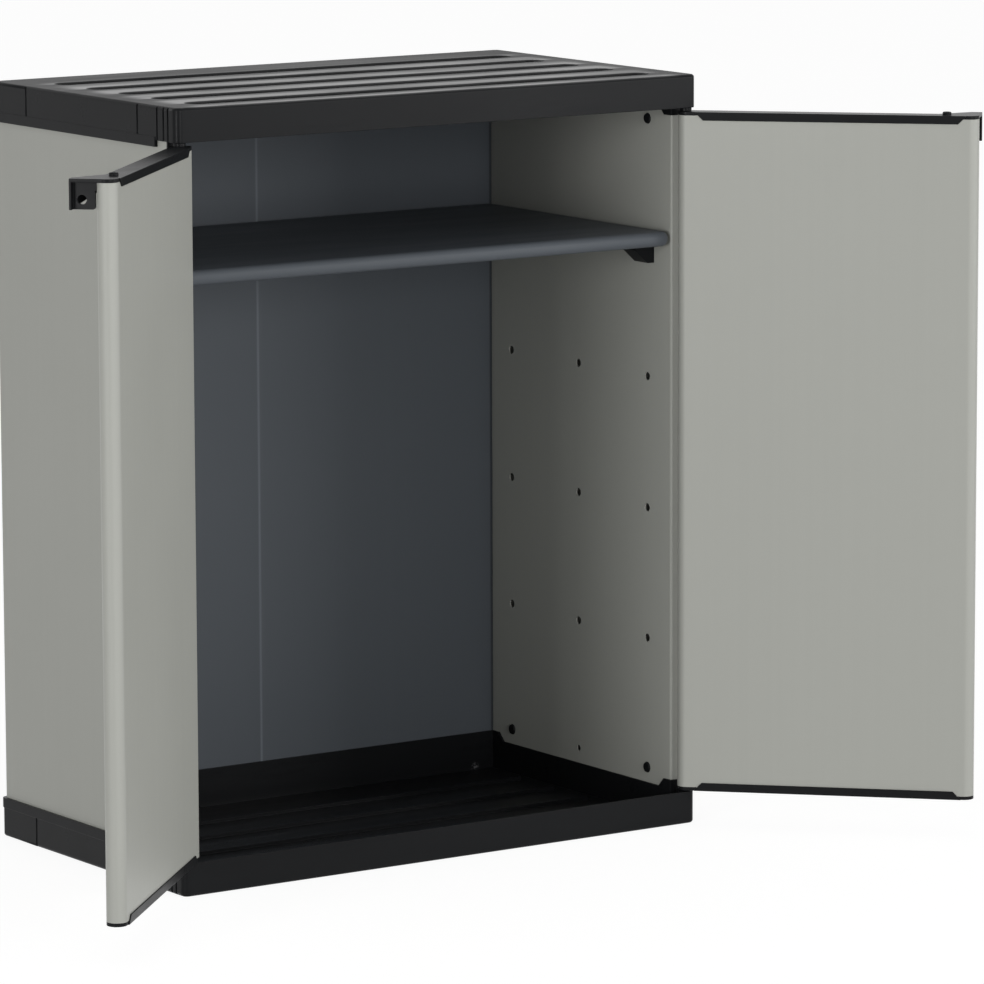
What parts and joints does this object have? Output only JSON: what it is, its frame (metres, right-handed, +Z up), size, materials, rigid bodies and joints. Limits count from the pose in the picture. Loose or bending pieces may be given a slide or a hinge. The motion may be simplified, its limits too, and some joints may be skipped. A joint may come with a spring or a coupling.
{
  "type": "two-door storage cabinet",
  "caption": "Low free-standing resin cabinet with twin-wall panels, hinged doors with padlock tabs, a lift-out shelf on pegged supports, and matching base and lid.",
  "frame": {"origin": "on the floor, under the centre of the shut cabinet's footprint", "axes": "+X to the right seen from the front, +Y to the back, +Z up"},
  "size_m": [1.1734, 0.6238, 0.85],
  "materials": {
    "grey_resin": "satin extruded, fine upright lines",
    "black_resin": "fine moulded grain",
    "slate_resin": "satin"
  },
  "bodies": {
    "carcass": {"base_tray": "black_resin", "lid": "black_resin", "right_side_panel": "grey_resin", "left_side_panel": "grey_resin", "back_panel_right": "slate_resin", "back_panel_left": "slate_resin", "shelf_support_front_right": "black_resin", "shelf_support_front_left": "black_resin", "shelf_support_rear_right": "black_resin", "shelf_support_rear_left": "black_resin", "base_plugs_right": "black_resin", "base_plugs_left": "black_resin", "lid_plugs_right": "black_resin", "lid_plugs_left": "black_resin"},
    "shelf": {"shelf": "slate_resin"},
    "right_door": {"right_door_panel": "grey_resin", "right_door_top_cap": "black_resin", "right_door_bottom_cap": "black_resin"},
    "left_door": {"left_door_panel": "grey_resin", "left_door_top_cap": "black_resin", "left_door_bottom_cap": "black_resin"}
  },
  "joints": [
    {"name": "right_door_hinge", "type": "hinge", "parent": "carcass", "child": "right_door", "pos_m": [0.33, -0.189, 0.0395], "axis": [0, 0, 1], "range_deg": [-135, 45]},
    {"name": "left_door_hinge", "type": "hinge", "parent": "carcass", "child": "left_door", "pos_m": [-0.33, -0.189, 0.0395], "axis": [0, 0, -1], "range_deg": [-135, 45]},
    {"name": "shelf_lift", "type": "slide", "parent": "carcass", "child": "shelf", "axis": [0, 0, 1], "range_m": [0, 0.1]}
  ]
}
